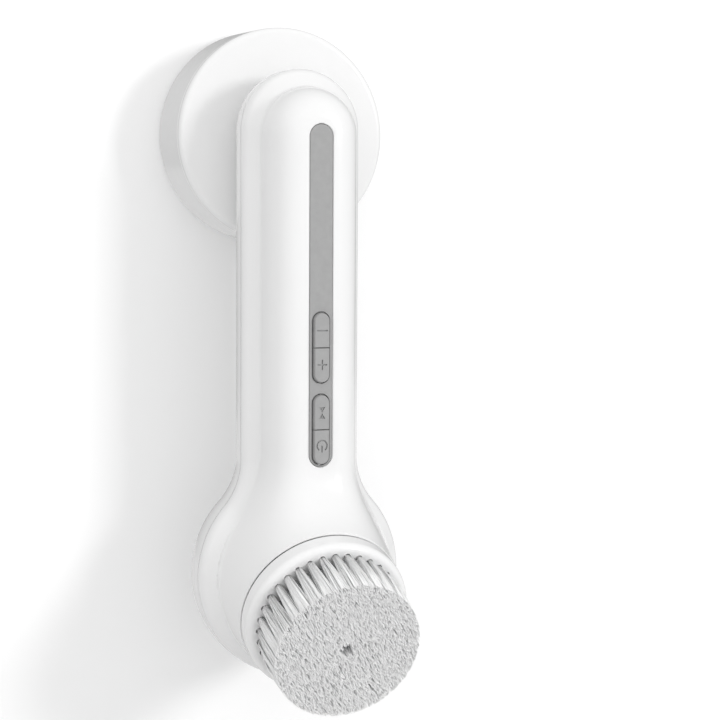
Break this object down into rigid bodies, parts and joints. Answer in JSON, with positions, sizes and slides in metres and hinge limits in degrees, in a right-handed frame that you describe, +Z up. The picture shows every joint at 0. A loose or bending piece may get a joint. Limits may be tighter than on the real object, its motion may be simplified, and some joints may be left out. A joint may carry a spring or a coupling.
{
  "type": "facial cleansing brush with wall dock",
  "caption": "Powered face brush: a ridged handle with a rubber key strip and a tilted spinning brush head that lifts off, held on a round magnetic wall dock.",
  "frame": {"origin": "centre of the dock's flat back, where it meets the wall", "axes": "+Z up along the wall, +Y into the wall, -Y out to the user, +X to the right as the user faces the wall"},
  "size_m": [0.0656, 0.0886, 0.2016],
  "materials": {
    "shell_plastic": "glossy white moulded plastic with fine seams",
    "brush_plastic": "glossy white moulded plastic, slightly translucent at its edge",
    "key_rubber": "soft matt grey silicone",
    "seal_rubber": "dark grey matt silicone seal",
    "foam_tape": "pale closed-cell foam tape",
    "bristle": "fine white nylon filaments in tufts",
    "board": "green solder mask with copper under it",
    "switch_plastic": "black moulded component plastic",
    "cell_wrap": "shrink sleeve on a lithium cell",
    "gear_nylon": "natural nylon",
    "steel": "zinc plated steel",
    "magnet_nickel": "nickel plated magnet",
    "brass": "turned brass",
    "contact_gold": "gold plated contact"
  },
  "bodies": {
    "dock": {"adhesive_pad": "foam_tape", "dock_back_plate": "shell_plastic", "dock_housing": "shell_plastic", "dock_face": "shell_plastic", "magnet_cup": "steel", "dock_magnet": "magnet_nickel", "dock_screw_1": "steel", "dock_screw_2": "steel", "dock_screw_3": "steel"},
    "handle": {"rear_shell": "shell_plastic", "front_shell": "shell_plastic", "shell_gasket": "seal_rubber", "keypad_strip": "key_rubber", "circuit_board": "board", "switch_minus": "switch_plastic", "switch_plus": "switch_plastic", "switch_direction": "switch_plastic", "switch_power": "switch_plastic", "battery": "cell_wrap", "battery_cradle": "gear_nylon", "keeper_plate": "steel", "charge_contact_left": "contact_gold", "charge_contact_right": "contact_gold", "board_screw_1": "steel", "board_screw_2": "steel", "motor": "steel", "gear_plate": "gear_nylon", "plate_screw_1": "steel", "plate_screw_2": "steel", "plate_screw_3": "steel", "idler_pin": "steel", "spindle_bush": "brass", "shaft_seal": "seal_rubber"},
    "key_minus_body": {"key_minus": "key_rubber"},
    "key_plus_body": {"key_plus": "key_rubber"},
    "key_direction_body": {"key_direction": "key_rubber"},
    "key_power_body": {"key_power": "key_rubber"},
    "motor_rotor": {"motor_pinion": "brass"},
    "idler": {"idler_gear": "gear_nylon"},
    "drive_spindle": {"output_gear": "gear_nylon", "spindle": "steel"},
    "brush_head": {"brush_carrier": "brush_plastic", "bristle_block": "bristle"}
  },
  "joints": [
    {"name": "handle_lift_off", "type": "slide", "parent": "dock", "child": "handle", "axis": [0, -1, 0], "range_m": [0, 0.06]},
    {"name": "press_minus", "type": "slide", "parent": "handle", "child": "key_minus_body", "axis": [0, 1, 0], "range_m": [0, 0.0006], "stiffness_N_per_m": 400},
    {"name": "press_plus", "type": "slide", "parent": "handle", "child": "key_plus_body", "axis": [0, 1, 0], "range_m": [0, 0.0006], "stiffness_N_per_m": 400},
    {"name": "press_direction", "type": "slide", "parent": "handle", "child": "key_direction_body", "axis": [0, 1, 0], "range_m": [0, 0.0006], "stiffness_N_per_m": 400},
    {"name": "press_power", "type": "slide", "parent": "handle", "child": "key_power_body", "axis": [0, 1, 0], "range_m": [0, 0.0006], "stiffness_N_per_m": 400},
    {"name": "brush_spin", "type": "hinge", "parent": "handle", "child": "drive_spindle", "pos_m": [0, -0.0591, -0.1401], "axis": [0, -0.9379, -0.3469], "continuous": true},
    {"name": "idler_spin", "type": "hinge", "parent": "handle", "child": "idler", "pos_m": [0.01039, -0.06118, -0.13447], "axis": [0, -0.9379, -0.3469], "continuous": true},
    {"name": "rotor_spin", "type": "hinge", "parent": "handle", "child": "motor_rotor", "pos_m": [0, -0.0622, -0.13172], "axis": [0, -0.9379, -0.3469], "continuous": true},
    {"name": "brush_pull_off", "type": "slide", "parent": "drive_spindle", "child": "brush_head", "axis": [0, -0.9379, -0.3469], "range_m": [0, 0.02]}
  ],
  "couplings": [
    {"joint": "idler_spin", "follows": "brush_spin", "ratio": -4},
    {"joint": "rotor_spin", "follows": "brush_spin", "ratio": 14}
  ]
}
